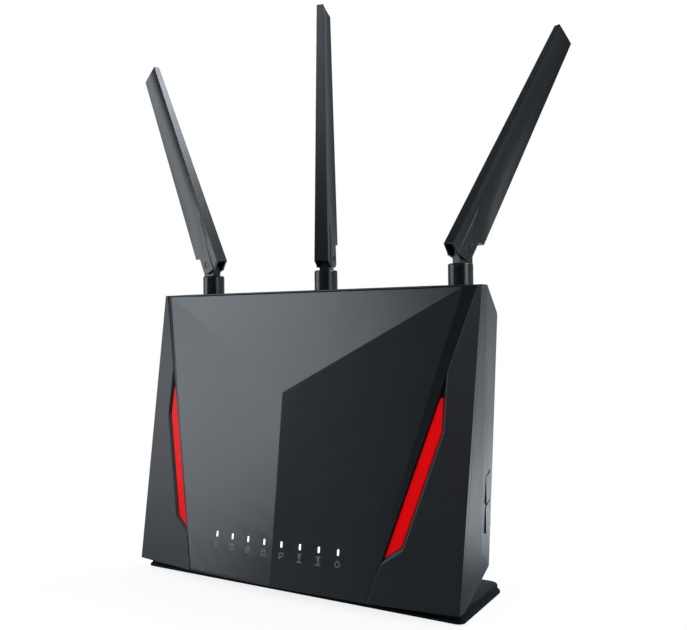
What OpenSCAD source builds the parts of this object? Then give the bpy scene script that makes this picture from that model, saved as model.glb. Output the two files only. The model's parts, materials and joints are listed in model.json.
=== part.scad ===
// Upright wireless router: faceted front, rear shell with its sockets, stand and three swivelling aerials.
// Millimetres. X runs to the right seen from the front, Y to the back, Z up.
// The origin is on the desk, under the middle of the front rubber foot.

/* [Body] */
// Width of the front across its lower corners
body_w = 220; // [212:1:236]
// How far each upper corner stands outside the lower one
body_flare = 0.9; // [0:0.1:2]
// Height of the front's top edge above the desk
body_top = 160; // [156:1:170]
// Height of the front's lower edge above the desk
ground_gap = 6; // [5.5:0.1:7]
// Lean of the front from upright, in degrees
front_lean = 8.16; // [7:0.1:9]
// How far the wings fall back for each millimetre outwards
wing_sweep = 0.148; // [0.13:0.01:0.16]
// Distance of the wings' lower corners ahead of the front foot's middle
front_reach = 14; // [12:0.5:16]
// Wall of the two shells
wall = 2.2; // [1.8:0.1:2.4]
// Depth of the flat land along the top edge
land_d = 8; // [6:0.5:10]
// Depth of the flat heel behind the lower front edge
heel_d = 6.5; // [5:0.5:8]
// Width across the back
rear_w = 200; // [192:1:204]
// Distance of the back's upper edge behind the front foot's middle
rear_top_y = 44; // [42:0.5:47]
// Distance of the back's lower edge behind the front foot's middle
rear_foot_y = 31.8; // [31.5:0.1:33]
// Height of the back's upper edge
rear_top_z = 149.5; // [147:0.5:151]
// Height of the back's lower edge
rear_foot_z = 18; // [17:0.5:20]
// Rounding of the back's upper corners
top_round = 4; // [3:0.5:7]
// Rounding of the back's lower corners
foot_round = 3; // [2.5:0.5:6]
// How far each side stands out at the low corner of its creases
flank_out = 0.9; // [0:0.1:1.2]
// Distance of that corner behind the front foot's middle
flank_y = 15; // [12:0.5:18]
// Height of that corner
flank_z = 30; // [27:0.5:34]
// Depth of the front shell's rim, from the wings to the seam
seam_d = 3; // [2.8:0.1:4]
// Clearance between pieces that are fixed together
fit = 0.15; // [0.1:0.05:0.2]

/* [Front panel] */
// Half width of the raised panel along its top edge
panel_top_x = 102.4; // [99:0.1:104]
// Half width of the raised panel along its foot
panel_foot_x = 60.9; // [57:0.1:64]
// Gap between the panel's edge and the front's top and foot
panel_margin = 1; // [0.8:0.1:1.5]
// How far the panel stands ahead of the wings at its upper corners
panel_proud = 2; // [1.5:0.1:2.4]
// How far the panel stands ahead of the wings at its foot corners
foot_proud = 0.1; // [0.05:0.05:0.4]
// Height of the point where the three facets meet
crown_z = 106; // [98:1:114]
// Distance of that point behind the wings' lower corners
crown_y = 2.6; // [2:0.1:3.4]
// Distance of the ridge's foot ahead of the wings' lower corners
prow_y = 9.1; // [8.5:0.1:9.8]
// Width of the sloping rim beside the facets at the top
rim_top_w = 6; // [5:0.1:6.4]
// Width of the sloping rim beside the facets at the foot
rim_foot_w = 0.8; // [0.6:0.1:1.6]
// Thickness of the panel
panel_t = 2.2; // [1.8:0.1:2.4]
// Thickness of the tray that the panel lies in
tray_t = 1.8; // [1.6:0.1:2.2]

/* [Accents] */
// Height of the slot's upper tip
slot_top_z = 119; // [114:1:124]
// Height of the slot's outer corner
slot_corner_z = 89.6; // [84:0.2:96]
// Height of the slot's lower outer corner
slot_low_z = 32.5; // [30:0.5:38]
// Height of the slot's lower tip
slot_tip_z = 24.2; // [21:0.2:27]
// Width of the slot, measured across the front
slot_w = 9.5; // [8.5:0.1:11]
// Width of the bevel along the slot's outer side
slot_bevel = 1.8; // [1.4:0.1:2.2]
// Depth of the slot below the wing
slot_d = 2.4; // [2.2:0.1:2.6]
// Height of the coloured strip's upper end
strip_top_z = 105.5; // [100:0.5:110]
// Thickness of the coloured strip
strip_t = 0.55; // [0.4:0.05:0.7]
// Thickness of the black liner under it
liner_t = 0.6; // [0.5:0.05:0.7]
// Width of the ledge between the panel's rim and the strip
ledge_w = 0.6; // [0.4:0.1:0.9]

/* [Indicators] */
// Distance between neighbouring indicator windows
led_pitch = 12.06; // [11:0.02:13]
// Height of the middle of the windows
led_z = 28.1; // [26:0.1:31]
// Width of a window
led_w = 1.4; // [1.2:0.1:1.8]
// Height of a window
led_h = 3.3; // [2.8:0.1:4]

/* [Ports] */
// Height of the middle of the sockets
port_z = 38; // [37:0.5:39]
// Depth of the bay's floor behind the front foot's middle
bay_y = 31; // [30.5:0.1:31.4]
// Height of the recessed bay
bay_h = 22; // [20:0.5:23]
// Distance of the bay's ends from the back's sides
bay_inset = 17; // [16.5:0.1:17.5]
// Width of one network socket's housing
jack_w = 15.8; // [15.4:0.1:16.2]
// Height of a network socket's housing
jack_h = 13.4; // [13:0.1:14]
// Distance between the ganged network sockets
jack_pitch = 14; // [13.8:0.1:14.2]
// Width of a network socket's mouth
mouth_w = 11.8; // [11.6:0.1:12]
// Height of a network socket's mouth
mouth_h = 6.9; // [6.7:0.1:7.1]
// Depth of a network socket's mouth
mouth_d = 12.6; // [12:0.1:13]
// Width of a USB shell
usb_w = 13.2; // [13:0.1:13.4]
// Height of a USB shell
usb_h = 5.8; // [5.6:0.1:6]
// Radius of the power inlet's mouth
inlet_r = 3.1; // [2.9:0.1:3.3]
// Radius of the power inlet's centre pin
inlet_pin_r = 1; // [0.8:0.05:1.1]

/* [Case screws] */
// Distance of the case screws from the back's sides
screw_inset = 11; // [10:0.5:12]
// Gap between the board's ends and the screw posts
board_gap = 2.4; // [2:0.1:3]
// Height of the lower case screws
low_screw_z = 34; // [33:0.5:36]
// Height of the upper case screws
high_screw_z = 120; // [118:0.5:124]

/* [Buttons] */
// Radius of the power button
power_r = 4; // [3.6:0.1:4.4]
// Travel of the power button
power_travel = 1.5; // [1:0.1:1.6]
// Radius of the reset plunger
reset_r = 1.1; // [0.9:0.1:1.3]
// Travel of the reset plunger
reset_travel = 0.6; // [0.4:0.1:0.8]
// Height of a side button
side_button_h = 13; // [12:0.2:14]
// Depth of a side button from front to back
side_button_w = 7.6; // [7:0.2:8]
// Distance of the side buttons' middle behind the front foot's middle
side_y = 24.4; // [24:0.1:24.8]
// Height of the middle of the lower side button
side_z = 46; // [45:0.5:47]
// Gap between the two side buttons
side_split = 1.4; // [1.3:0.1:2]
// Slant of the side buttons' ends, in degrees
side_slant = 20; // [10:1:26]
// Travel of the side buttons
side_travel = 1; // [0.6:0.1:1.2]
// Running clearance around a button
button_gap = 0.25; // [0.2:0.05:0.35]

/* [Board] */
// Distance of the board's front face behind the front foot's middle
board_y = 12; // [11.6:0.1:12.2]
// Thickness of the circuit board
board_t = 1.6; // [1.2:0.1:1.8]
// Height of the board's lower edge
board_foot_z = 27; // [26.5:0.1:27.4]
// Height of the board's upper edge
board_top_z = 141; // [139:0.5:142]

/* [Stand] */
// Half width of the stand along its front
stand_front_x = 107; // [104:0.5:109]
// Half width of the stand at the back
stand_rear_x = 92; // [88:0.5:95]
// Distance of the stand's front edge ahead of the front foot's middle
stand_front_y = 9; // [8:0.2:9.6]
// Distance of the stand's back edge behind the front foot's middle
stand_rear_y = 57; // [54:0.5:62]
// Height of the plate's upper face
stand_top = 5.5; // [5.2:0.1:5.8]
// Rounding of the stand's back corners
stand_round = 8; // [6:0.5:11]
// How far the stand's lower edge stands out all round
lip_out = 1.3; // [0.8:0.1:1.6]
// Thickness of that edge
lip_t = 1.9; // [1.6:0.1:2.2]
// How far the rubber feet hold the plate off the desk
foot_lift = 0.8; // [0.6:0.1:1]

/* [Aerials] */
// Distance of the outer aerials from the middle
aerial_x = 87.8; // [86:0.2:88]
// Distance of the aerials behind the front foot's middle
aerial_y = 26.1; // [25:0.1:27]
// Radius of the sleeve
sleeve_r = 6.4; // [6.2:0.1:6.6]
// Height of the sleeve's upper face
sleeve_top = 171.5; // [169:0.5:174]
// Height of the hinge pin
pin_z = 178.3; // [177.9:0.1:179]
// Distance of the hinge pin from the sleeve's axis
pin_offset = 1.4; // [0.8:0.1:1.4]
// Radius of the hinge pin
pin_r = 1.8; // [1.5:0.1:1.9]
// Thickness of the sleeve's tongue
tongue_t = 5.6; // [5.2:0.1:5.8]
// Radius of the tongue's round end
tongue_r = 4.2; // [3.8:0.1:4.3]
// Length of the blade above the pin
blade_l = 140; // [120:1:160]
// Width of the blade on its heel side at the pin
blade_heel = 9.3; // [9:0.1:10]
// Width of the blade on its toe side at the pin
blade_toe = 7.8; // [7.4:0.1:8.2]
// Half width of the blade at its tip
tip_half = 6; // [5:0.1:6.4]
// Drop of the slanted tip
tip_cut = 4; // [3:0.1:9]
// Thickness of the blade at the pin
blade_t = 8; // [7.6:0.1:8.4]
// Thickness of the blade at its tip
tip_t = 3.9; // [3:0.1:4.4]
// Height of the raised grip on each side of the blade
grip_t = 0.3; // [0.2:0.05:0.4]
// Length of the raised grip above the pin
grip_l = 43; // [36:1:50]
// Clearance on each side of the tongue
tongue_gap = 0.15; // [0.1:0.05:0.2]
// Running clearance of the pins and sleeves
run_gap = 0.06; // [0.04:0.01:0.09]
// Directions in which the left, middle and right blades lean, from the front towards the right
swings = [-95, 201, 160.5];
// Lean of the left, middle and right blades from upright
leans = [24.8, 0, 30.9];

/* [Hidden] */

// Mould colours
panel_grey = "#46494d";
shell_black = "#1d1f22";
accent_red = "#e30b0b";
board_green = "#1c5a35";
bright_metal = "#c9ccd0";
gold = "#c9a24a";

front_y = -front_reach;
lean_slope = tan(front_lean);
dot_size = 0.02;
far = 80;
half_w = body_w / 2;
top_x = half_w + body_flare;

// Depth of the wings' surface at width x and height z
function wing_y(x, z) = front_y + wing_sweep * (abs(x) - half_w) + lean_slope * (z - ground_gap);

function mix(a, b, t) = a + t * (b - a);
function swap(p, s) = [s * p[0], p[1], p[2]];

// Sides without their bulge: where they start at height z, their rounded rear corner [x, y, radius], and their x at y
function side_front(z) = let (x = half_w + body_flare * (z - ground_gap) / (body_top - ground_gap)) [x, wing_y(x, z)];
function side_corner(z) =
    let (t = (z - rear_foot_z - foot_round) / (rear_top_z - top_round - rear_foot_z - foot_round), r = mix(foot_round, top_round, t))
    [rear_w / 2 - r, mix(rear_foot_y, rear_top_y, t) - r, r];
// Angle that a flat side wall would make with Y at height z
function side_angle(z) = let (f = side_front(z), c = side_corner(z), d = [f[0] - c[0], c[1] - f[1]])
    atan2(d[0], d[1]) - asin(c[2] / norm(d));
function side_wall_x(y, z) = side_front(z)[0] - tan(side_angle(z)) * (y - side_front(z)[1]);

module dot(p) translate(p) cube(dot_size, center = true);

// Outer form of the two shells, with every face moved inwards by inset
module body_form(inset = 0) {
    z0 = ground_gap + inset;
    z1 = body_top - inset;
    land_y = wing_y(top_x, body_top) + land_d;
    taper = (half_w - rear_w / 2) / (rear_foot_y - front_y);
    hull() {
        for (x = [-1, 0, 1]) {
            dot([x * (half_w - inset), wing_y(x * (half_w - inset), z0) + inset, z0]);
            dot([x * (top_x - inset), wing_y(x * (top_x - inset), z1) + inset, z1]);
        }
        for (s = [-1, 1]) {
            dot([s * (top_x - taper * land_d - inset), land_y, z1]);
            dot([s * (half_w - taper * heel_d - inset), front_y + heel_d, z0]);
            dot([s * (side_wall_x(flank_y, flank_z) + flank_out - inset), flank_y, flank_z]);
            translate([s * (rear_w / 2 - top_round), rear_top_y - top_round, rear_top_z - top_round])
                sphere(top_round - inset, $fn = 28);
            translate([s * (rear_w / 2 - foot_round), rear_foot_y - foot_round, rear_foot_z + foot_round])
                sphere(foot_round - inset, $fn = 28);
        }
    }
}

// Half-space ahead of (side = -1) or behind (side = 1) the seam
module seam_side(side, gap = 0) {
    translate([0, front_y + seam_d + side * gap, ground_gap]) rotate([-front_lean, 0, 0])
        translate([-2 * half_w, side > 0 ? 0 : -2 * half_w, -half_w]) cube([4 * half_w, 2 * half_w, 3 * half_w]);
}

// ---- Raised front panel ----
panel_foot_z = ground_gap + panel_margin;
panel_top_z = body_top - panel_margin;
rim_top_x = panel_top_x + rim_top_w;
rim_foot_x = panel_foot_x + rim_foot_w;
rim_sink = 0.15;
cols = 5;
rows = 8;

function rim_x(z) = mix(rim_foot_x, rim_top_x, (z - panel_foot_z) / (panel_top_z - panel_foot_z));
ridge_foot = [0, front_y - prow_y, panel_foot_z];
crown = [0, front_y + crown_y, crown_z];
crease_foot = [panel_foot_x, wing_y(panel_foot_x, panel_foot_z) - foot_proud, panel_foot_z];
crease_top = [panel_top_x, wing_y(panel_top_x, panel_top_z) - panel_proud, panel_top_z];

// A point of the right-hand facet: u from the ridge to the crease, v from the foot to the crown line
function facet(u, v, grow) =
    mix(mix(ridge_foot - [0, 0, grow], crown, v), mix(crease_foot - [0, 0, grow], crease_top + [0, 0, grow], v), u);
// A point of the rim beside the facet
function rim(v, grow) =
    let (z = mix(panel_foot_z - grow, panel_top_z + grow, v), x = rim_x(z) + grow) [x, wing_y(x, z) + rim_sink, z];
function panel_point(c, v, grow) =
    swap(abs(c) > cols ? rim(v, grow) : facet(abs(c) / cols, v, grow), c < 0 ? -1 : 1);

// Solid between the panel's surface moved back by front and by back, or a flat far ahead where front is undef
module panel_form(front, back, grow = 0, rim_grow = 0) {
    n = 2 * cols + 3;
    c0 = cols + 1;
    g = [for (j = [0:rows]) for (c = [-c0:c0])
        let (p = panel_point(c, j / rows, grow)) abs(c) > cols ? p + [sign(c) * (rim_grow - grow), 0, 0] : p];
    layer = (rows + 1) * n;
    points = concat(
        [for (p = g) front == undef ? [p[0], -far, p[2]] : p + [0, front, 0]],
        [for (p = g) p + [0, back, 0]]);
    top = rows * n;
    faces = concat(
        [for (j = [0:rows - 1]) for (i = [0:n - 2]) each [
            [j * n + i, (j + 1) * n + i, j * n + i + 1], [j * n + i + 1, (j + 1) * n + i, (j + 1) * n + i + 1],
            [layer + j * n + i + 1, layer + (j + 1) * n + i, layer + j * n + i],
            [layer + (j + 1) * n + i + 1, layer + (j + 1) * n + i, layer + j * n + i + 1]]],
        [[for (i = [n - 2:-1:1]) top + i], [for (i = [1:n - 2]) layer + top + i]],
        [for (j = [0:rows - 1]) each [
            [j * n, layer + j * n, layer + (j + 1) * n, (j + 1) * n],
            [j * n + n - 1, (j + 1) * n + n - 1, layer + (j + 1) * n + n - 1, layer + j * n + n - 1]]],
        [for (i = [0:n - 2]) [i, i + 1, layer + i + 1, layer + i]],
        [for (i = [0, 1, n - 2])
            let (a = top + i, b = top + (i == 1 ? n - 2 : i + 1)) [b, a, layer + a, layer + b]]);
    polyhedron(points, faces, convexity = 6);
}

module front_panel() {
    color(panel_grey) difference() {
        panel_form(0, panel_t);
        led_windows(0);
    }
}

// ---- Accent slots ----
function across(z, w) = [rim_x(z) + w, z];
slot_sill = 1.4;
strip_in = 2 * fit;
floor_w = slot_w - slot_bevel;
floor_top_z = mix(slot_top_z, slot_corner_z, slot_bevel / slot_w);
floor_low_z = slot_low_z + slot_sill;
floor_tip_z = slot_tip_z + slot_bevel * (slot_low_z - slot_tip_z) / slot_w + slot_sill;

// Outline of width w between two heights on the rim and two outer corners, cut off at inner from the rim
function slot_outline(top, corner, low, tip, w, inner, less = 0) =
    let (m = (top - corner) / w, b = (low - tip) / w, t = top - less * norm([1, m]), f = tip + less * norm([1, b])) [
    across(t - m * inner, inner), across(t - m * (w - less), w - less),
    across(f + b * (w - less), w - less), across(f + b * inner, inner)];
function slot_mouth(inner) = slot_outline(slot_top_z, slot_corner_z, slot_low_z, slot_tip_z, slot_w, inner);
function slot_foot(inner, less = 0) = slot_outline(floor_top_z, slot_corner_z, floor_low_z, floor_tip_z, floor_w, inner, less);
// The strip's outline is the slot's, cut off level at its upper end
function strip_outline() =
    let (o = slot_foot(ledge_w, strip_in), t = (strip_top_z - o[1][1]) / (o[0][1] - o[1][1]), w = mix(floor_w - strip_in, ledge_w, t)) [
    across(strip_top_z, ledge_w), across(strip_top_z, w), o[1], o[2], o[3]];

// Prism between outline a at depth d0 below the wing and outline b at depth d1
module wing_prism(a, b, d0, d1) {
    n = len(a);
    polyhedron(
        concat([for (p = a) [p[0], wing_y(p[0], p[1]) + d0, p[1]]], [for (p = b) [p[0], wing_y(p[0], p[1]) + d1, p[1]]]),
        concat([[for (i = [0:n - 1]) i]], [[for (i = [n - 1:-1:0]) n + i]],
            [for (i = [0:n - 1]) let (j = (i + 1) % n) each [[j, i, n + i], [j, n + i, n + j]]]));
}

bevel_d = slot_d - 2 * fit / 3 - liner_t - strip_t;
slot_floor_t = 1.4;
slot_border = 1.2;
slot_over = 0.1;

// Everything that the slot takes out of the wing
module slot_cut() {
    inner = -slot_border / 2;
    wing_prism(slot_mouth(inner), slot_foot(inner), -slot_over, bevel_d);
    wing_prism(slot_foot(inner), slot_foot(inner), bevel_d - slot_over, slot_d);
}
// Floor that backs the slot inside the shell
module slot_floor() {
    b = slot_border;
    o = [across(slot_top_z + b, -b), across(slot_corner_z, slot_w + b), across(slot_low_z - b, slot_w + b), across(slot_tip_z - b, -b)];
    wing_prism(o, o, wall / 2, slot_d + slot_floor_t);
}
module accent_liner() {
    o = slot_foot(2 * fit, fit);
    d = slot_d - fit / 3;
    color("black") wing_prism(o, o, d - liner_t, d);
}
module accent_strip() {
    o = strip_outline();
    color(accent_red) wing_prism(o, o, bevel_d, bevel_d + strip_t);
}
module accent_liner_left() mirror([1, 0, 0]) accent_liner();
module accent_liner_right() accent_liner();
module accent_strip_left() mirror([1, 0, 0]) accent_strip();
module accent_strip_right() accent_strip();

// ---- Indicators ----
led_xs = [for (i = [-3.5:3.5]) i * led_pitch];
guide_bar_y = front_y + 1.2;
guide_bar_t = 1.8;
led_size = [1.6, 0.8, 0.8];

// Stadium-shaped bars from front to back, one at each indicator
module led_windows(gap, y0 = -far, y1 = 0) {
    r = led_w / 2 + gap;
    h = led_h / 2 - led_w / 2;
    for (x = led_xs) translate([x, y1, led_z]) rotate([90, 0, 0]) linear_extrude(y1 - y0) {
        square([2 * r, 2 * h], center = true);
        for (s = [-1, 1]) translate([0, s * h]) circle(r, $fn = 24);
    }
}
module light_guide() {
    color("white") {
        intersection() {
            led_windows(-fit / 2, -far, board_y - led_size[1] - fit);
            panel_form(0.05, far);
        }
        translate([-4 * led_pitch, guide_bar_y, led_z - led_h / 2 + led_w / 2]) cube([8 * led_pitch, guide_bar_t, led_h - led_w]);
    }
}
module status_leds() {
    color("white") for (x = led_xs)
        translate([x - led_size[0] / 2, board_y - led_size[1], led_z - led_size[2] / 2]) cube(led_size);
}

// ---- Shells ----
screw_x = rear_w / 2 - screw_inset;
screw_zs = [low_screw_z, high_screw_z];
screw_r = 1.45;
screw_head_r = 2.8;
screw_head_t = 1.8;
screw_sink = 2.4;
post_r = 3.6;
post_reach = 5;
board_post_r = 3;
board_w = 2 * (screw_x - post_r - board_gap);
board_corner = [board_post_r + 0.8, board_post_r + 1.2];
board_posts = [
    [board_w / 2 - board_corner[0], board_foot_z + board_corner[1]],
    [board_w / 2 - board_corner[0], board_top_z - board_corner[1]]];
stand_screw = [42, 11];
stand_post_top = 25.5;
bay_floor_t = 2;
bay_lip = 1.5;
bay_lip_t = 1.4;
boss_top = 153;
boss_r = 9;
boss_foot = 145;
recess_r = 7.2;
thread_r = 3.175;
aerial_xs = [-aerial_x, 0, aerial_x];

function seam_y(z) = front_y + seam_d + lean_slope * (z - ground_gap);
function rear_y(z) = mix(rear_foot_y, rear_top_y,
    (z - rear_foot_z - foot_round) / (rear_top_z - top_round - rear_foot_z - foot_round));

// Cylinder of radius r along Y, from y0 to y1
module rod(x, z, r, y0, y1, fn = 32) translate([x, y1, z]) rotate([90, 0, 0]) cylinder(r = r, h = y1 - y0, $fn = fn);
// Box centred on x and z, from y0 to y1
module block(x, z, w, h, y0, y1) translate([x - w / 2, y0, z - h / 2]) cube([w, y1 - y0, h]);

module front_bezel() {
    tray_back = panel_t + fit + tray_t;
    color(shell_black) difference() {
        intersection() {
            difference() {
                body_form();
                difference() {
                    body_form(wall);
                    panel_form(undef, tray_back, slot_border, 3);
                    for (s = [0, 1]) mirror([s, 0, 0]) slot_floor();
                }
            }
            seam_side(-1, fit / 2);
        }
        panel_form(undef, fit, 3, 0);
        panel_form(undef, panel_t + fit, fit, fit);
        for (s = [0, 1]) mirror([s, 0, 0]) slot_cut();
        led_windows(fit / 2);
        for (s = [-1, 1]) for (z = screw_zs) rod(s * screw_x, z, screw_r + fit, seam_y(z) - post_reach, seam_y(z) + 2 * post_reach);
    }
    color(shell_black) for (s = [-1, 1]) for (z = screw_zs) difference() {
        rod(s * screw_x, z, post_r, wing_y(screw_x, z) + wall - 0.3, seam_y(z) + post_reach);
        rod(s * screw_x, z, screw_r + fit / 2, seam_y(z) - post_reach / 2, seam_y(z) + 2 * post_reach);
    }
}

// What stands inside the rear shell: screw posts, board posts, the bay's walls and lip, and the aerial bosses
module housing_inside() {
    for (s = [-1, 1]) {
        for (z = screw_zs) rod(s * screw_x, z, post_r, seam_y(z) + post_reach + fit, far);
        for (p = board_posts) rod(s * p[0], p[1], board_post_r, board_y + board_t + fit, far);
        translate([s * stand_screw[0], stand_screw[1], 0]) cylinder(r = post_r, h = stand_post_top, $fn = 32);
    }
    block(0, port_z, bay_w + 2 * wall, bay_h + 2 * wall, bay_y - bay_floor_t - bay_lip_t, far);
    for (x = aerial_xs) translate([x, aerial_y, boss_foot]) cylinder(r = boss_r, h = far, $fn = 48);
}

// ---- Ports ----
bay_w = rear_w - 2 * bay_inset;
lan_count = 4;
inlet_size = [9.4, 11];
power_switch_w = 8.6;
reset_switch_w = 6;
board_back = board_y + board_t;
jack_out = 0.6;
lan_w = jack_pitch * (lan_count - 1) + jack_w;
// The sockets and buttons along the bay, from -X, and the part of the bay's spare width that lies before each
port_ws = [lan_w, jack_w, reset_switch_w, usb_w, usb_w, inlet_size[0], power_switch_w];
port_shares = [0.3, 0.4, 0.52, 0.62, 0.69, 0.75, 0.86];
function sum_to(list, i) = i < 0 ? 0 : list[i] + sum_to(list, i - 1);
bay_spare = bay_w - sum_to(port_ws, len(port_ws) - 1);
port_xs = [for (i = [0:len(port_ws) - 1]) sum_to(port_ws, i) - port_ws[i] / 2 - bay_w / 2 + port_shares[i] * bay_spare];
lan_x = port_xs[0];
wan_x = port_xs[1];
reset_x = port_xs[2];
usb_xs = [port_xs[3], port_xs[4]];
inlet_x = port_xs[5];
power_x = port_xs[6];
lan_xs = [for (i = [0:lan_count - 1]) lan_x + (i - (lan_count - 1) / 2) * jack_pitch];
vent_rows = 10;
vent_pitch = 6;
vent_z = 66;
vent_size = [27, 2.4];
vent_xs = [20, 52];
vent_slant = 14;
vent_reach = 16;

module port_holes() {
    g = 2 * fit;
    y0 = bay_y - bay_floor_t - 1;
    y1 = bay_y + 1;
    block(wan_x, port_z, jack_w + g, jack_h + g, y0, y1);
    block(lan_x, port_z, lan_w + g, jack_h + g, y0, y1);
    for (x = usb_xs) block(x, port_z, usb_w + g, usb_h + g, y0, y1);
    block(inlet_x, port_z, inlet_size[0] + g, inlet_size[1] + g, y0, y1);
    rod(power_x, port_z, power_r + button_gap, y0, y1, 48);
    rod(reset_x, port_z, reset_r + button_gap, y0, y1);
}

module vents() {
    for (s = [-1, 1]) for (x = vent_xs) for (i = [0:vent_rows - 1])
        translate([s * x, rear_y(vent_z), vent_z + i * vent_pitch - (x - vent_xs[0]) * tan(vent_slant)])
            rotate([0, s * vent_slant, 0]) cube([vent_size[0], vent_reach, vent_size[1]], center = true);
}

module rear_housing() {
    color(shell_black) difference() {
        union() {
            intersection() {
                difference() {
                    body_form();
                    difference() {
                        body_form(wall);
                        housing_inside();
                    }
                }
                seam_side(1, fit / 2);
            }
            for (x = aerial_xs) translate([x, aerial_y, boss_foot]) cylinder(r = boss_r, h = boss_top - boss_foot, $fn = 48);
        }
        block(0, port_z, bay_w, bay_h, bay_y - bay_floor_t - fit / 2, far);
        block(0, port_z, bay_w - 2 * bay_lip, bay_h - 2 * bay_lip, bay_y - bay_floor_t - bay_lip_t - 1, far);
        vents();
        for (x = aerial_xs) translate([x, aerial_y, 0]) {
            translate([0, 0, boss_top]) cylinder(r = recess_r, h = far, $fn = 48);
            translate([0, 0, boss_foot - 1]) cylinder(r = thread_r + fit / 2, h = far, $fn = 48);
        }
        for (s = [-1, 1]) {
            for (z = screw_zs) {
                rod(s * screw_x, z, screw_r + fit, seam_y(z), far);
                rod(s * screw_x, z, screw_head_r + fit, rear_y(z) - screw_sink, far);
            }
            for (p = board_posts) rod(s * p[0], p[1], screw_r + fit / 2, board_back, board_back + board_screw_l);
            translate([s * stand_screw[0], stand_screw[1], 0]) cylinder(r = screw_r + fit / 2, h = stand_post_top - 1, $fn = 32);
        }
        for (z = side_zs) side_bar(z, button_gap, side_wall_x(side_y, z) - side_hole_reach, far + half_w);
    }
}

// Plate that closes the bay round the sockets
module port_panel() {
    color("#17181a") difference() {
        block(0, port_z, bay_w - fit, bay_h - fit, bay_y - bay_floor_t, bay_y);
        port_holes();
    }
}

module housing_screws() {
    color(bright_metal) for (s = [-1, 1]) for (z = screw_zs) {
        y1 = rear_y(z) - screw_sink;
        difference() {
            rod(s * screw_x, z, screw_head_r, y1 + fit / 3, y1 + screw_head_t);
            screw_cross(s * screw_x, z, y1 + screw_head_t, 1);
        }
        rod(s * screw_x, z, screw_r, seam_y(z) - post_reach / 2 + 0.5, y1 + fit);
    }
}
// Cross recess of a screw head whose face is at y
module screw_cross(x, z, y, depth) {
    for (a = [0, 90]) translate([x, y, z]) rotate([0, a, 0]) cube([0.7, 2 * depth, 3], center = true);
}

// ---- Side buttons ----
side_zs = [side_z, side_z + side_button_h + side_split];
side_out = 1.2;
side_hole_reach = 8;
side_flange = 0.5;
side_flange_t = 1.2;
stem_r = 1.4;
switch_size = [6, 9, 7];
plunger_r = 1.2;
plunger_l = 1.2;
stem_y = board_y + board_t + switch_size[1] - 2 * stem_r;

// Bar along X from x0 to x1, with the slanted outline of a side button grown by gap
module side_bar(z, gap, x0, x1) {
    w = side_button_w / 2 + gap;
    h = side_button_h / 2 + gap;
    translate([x0, side_y, z]) rotate([90, 0, 90]) linear_extrude(x1 - x0)
        polygon([for (p = [[-w, -h], [w, -h], [w, h], [-w, h]]) [p[0], p[1] + p[0] * tan(side_slant)]]);
}
module side_button(z) {
    x = side_wall_x(side_y, z);
    low_x = side_wall_x(side_y + side_button_w, z) - wall - side_travel;
    switch_x = board_w / 2 + plunger_l + side_travel + fit;
    color(shell_black) {
        difference() {
            side_bar(z, 0, low_x - side_flange_t, x + 3);
            translate([x + side_out, side_y, z]) rotate([0, 0, side_angle(z)])
                translate([0, -side_button_h, -side_button_h]) cube(2 * side_button_h);
        }
        side_bar(z, side_flange, low_x - 2 * side_flange_t, low_x - side_flange_t);
        translate([switch_x, stem_y, z]) rotate([0, 90, 0]) cylinder(r = stem_r, h = low_x - 1.5 * side_flange_t - switch_x, $fn = 24);
    }
}
module wps_button() side_button(side_zs[1]);
module wifi_button() side_button(side_zs[0]);
module side_switches() {
    color("dimgray") for (z = side_zs) {
        translate([board_w / 2 - switch_size[0], board_back, z - switch_size[2] / 2]) cube(switch_size);
        translate([board_w / 2 - 0.5, stem_y, z]) rotate([0, 90, 0]) cylinder(r = plunger_r, h = plunger_l + 0.5, $fn = 24);
    }
}

// ---- Board and what stands on it ----
board_screw_l = 9;
chip_t = 1.4;
chip_list = [[0, 92, 22, 22], [-26, 84, 10, 14], [-26, 102, 10, 14], [26, 92, 12, 12]];
radio_list = [[-28, 100, 14, 14], [28, 100, 14, 14]];
can_xs = [-64, 64];
can_z = 92;
can_size = [24, 32];
can_t = 3;
sink_w = 96;
sink_base_t = 2;
fin_t = 1.4;
fin_count = 13;
rear_sink_h = 50;
front_sink_h = 34;
front_sink_z = 100;
front_fin_l = 7;
fin_gap = 4.5;
puck_r = 1.5;
puck_t = 1.2;
lead_r = 0.6;
lead_end_z = can_z + rear_sink_h / 2 + 5;
lead_in = 16;
lead_drop = 14;
lead_bow = 9;

module main_board() {
    color(board_green) difference() {
        translate([-board_w / 2, board_y, board_foot_z]) cube([board_w, board_t, board_top_z - board_foot_z]);
        for (s = [-1, 1]) for (p = board_posts) rod(s * p[0], p[1], screw_r + fit, board_y - 1, board_back + 1);
    }
}
module board_screws() {
    color(bright_metal) for (s = [-1, 1]) for (p = board_posts) {
        difference() {
            rod(s * p[0], p[1], 2.6, board_y - 1.6, board_y);
            screw_cross(s * p[0], p[1], board_y - 1.6, 0.8);
        }
        rod(s * p[0], p[1], screw_r, board_y - 0.5, board_back + board_screw_l - 0.5);
    }
}
module chips() {
    color("#222427") {
        for (c = chip_list) block(c[0], c[1], c[2], c[3], board_back, board_back + chip_t);
        for (c = radio_list) block(c[0], c[1], c[2], c[3], board_y - chip_t, board_y);
    }
}
module shield_cans() {
    color(bright_metal) for (x = can_xs) difference() {
        block(x, can_z, can_size[0], can_size[1], board_back, board_back + can_t);
        block(x, can_z, can_size[0] - 0.8, can_size[1] - 0.8, board_back - 1, board_back + can_t - 0.4);
    }
}
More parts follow.
